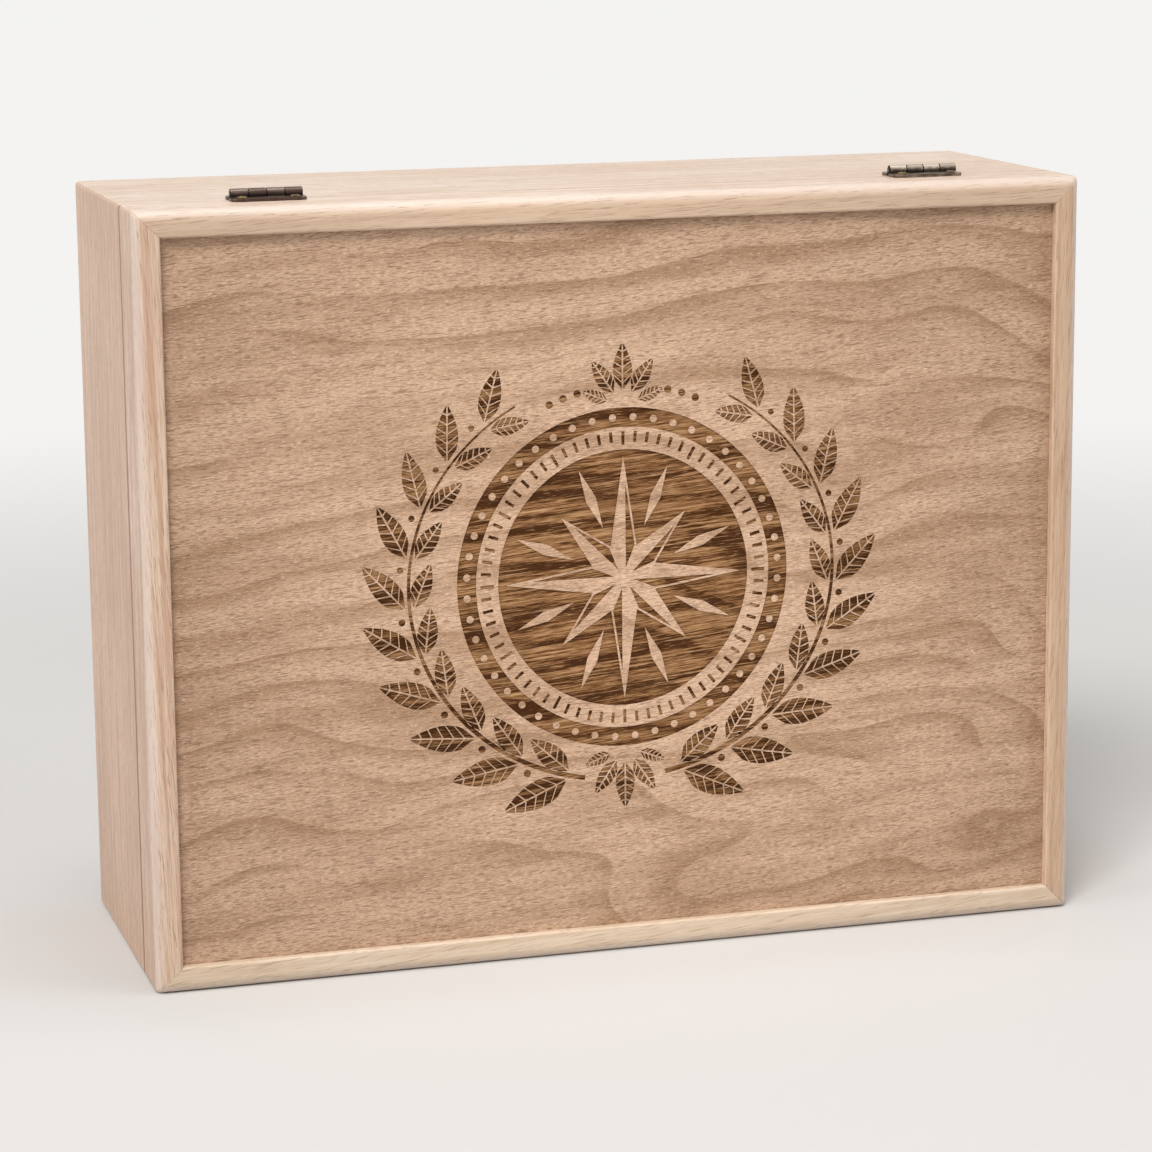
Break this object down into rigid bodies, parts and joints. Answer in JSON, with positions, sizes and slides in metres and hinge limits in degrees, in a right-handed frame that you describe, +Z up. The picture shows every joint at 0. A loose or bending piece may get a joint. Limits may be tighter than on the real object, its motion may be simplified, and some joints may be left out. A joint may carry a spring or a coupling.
{
  "type": "hinged wooden box",
  "caption": "Shallow rectangular wooden box with mitred walls, a framed lid with a recessed panel, and a lid that folds right back on two small surface-mounted butt hinges.",
  "frame": {"origin": "middle of the rectangle that the closed box stands on, on the outer face of its front wall", "axes": "+X along the hinges, +Y from the lid's face to the underside of the box, +Z up from the standing face to the hinges"},
  "size_m": [0.35, 0.125, 0.2821],
  "materials": {
    "frame_wood": "bare sanded hardwood with a thin matt oil, straight grain along each board",
    "panel_wood": "matt beech-like veneer with short dark flecks and broad wavy figure",
    "aged_bronze": "dark antique bronze plating, worn paler on the barrel and the edges",
    "screw_brass": "antiqued brass with a dark cross recess",
    "magnet_nickel": "plain nickel plating"
  },
  "bodies": {
    "base": {"base_board_front": "frame_wood", "base_board_hinge_side": "frame_wood", "base_board_left": "frame_wood", "base_board_right": "frame_wood", "base_panel": "panel_wood", "hinge_left_base_leaf": "aged_bronze", "hinge_left_base_screw_1": "screw_brass", "hinge_left_base_screw_2": "screw_brass", "hinge_left_pin": "aged_bronze", "hinge_right_base_leaf": "aged_bronze", "hinge_right_base_screw_1": "screw_brass", "hinge_right_base_screw_2": "screw_brass", "hinge_right_pin": "aged_bronze", "base_magnet_left": "magnet_nickel", "base_magnet_right": "magnet_nickel"},
    "lid": {"lid_board_front": "frame_wood", "lid_board_hinge_side": "frame_wood", "lid_board_left": "frame_wood", "lid_board_right": "frame_wood", "lid_panel": "panel_wood", "hinge_left_lid_leaf": "aged_bronze", "hinge_left_lid_screw_1": "screw_brass", "hinge_left_lid_screw_2": "screw_brass", "hinge_right_lid_leaf": "aged_bronze", "hinge_right_lid_screw_1": "screw_brass", "hinge_right_lid_screw_2": "screw_brass", "lid_magnet_left": "magnet_nickel", "lid_magnet_right": "magnet_nickel"}
  },
  "joints": [
    {"name": "lid_hinge", "type": "hinge", "parent": "base", "child": "lid", "pos_m": [0, -0.036, 0.2801], "axis": [-1, 0, 0], "range_deg": [0, 180]}
  ]
}
